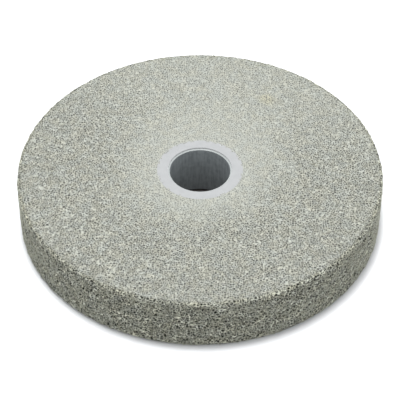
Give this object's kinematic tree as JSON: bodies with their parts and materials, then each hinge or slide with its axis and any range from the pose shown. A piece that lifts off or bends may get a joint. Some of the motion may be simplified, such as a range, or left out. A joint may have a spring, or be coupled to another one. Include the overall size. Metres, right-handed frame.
{
  "type": "felt polishing wheel",
  "caption": "Thick flat fibre polishing wheel with softened edges, a smooth pale hub ring and a dark lined bore for a 1 inch arbor.",
  "frame": {"origin": "on the bore axis, at the lower face that the wheel lies on", "axes": "+Z along the bore axis, from the lower face to the upper face; the wheel is round, so X and Y are free"},
  "size_m": [0.1524, 0.1524, 0.0242],
  "materials": {
    "fibre": "matte",
    "cast_resin": "satin",
    "tube": "satin"
  },
  "bodies": {
    "root": {"wound_fibre_web": "fibre", "cast_core_sleeve": "cast_resin", "arbor_tube": "tube"}
  },
  "joints": []
}
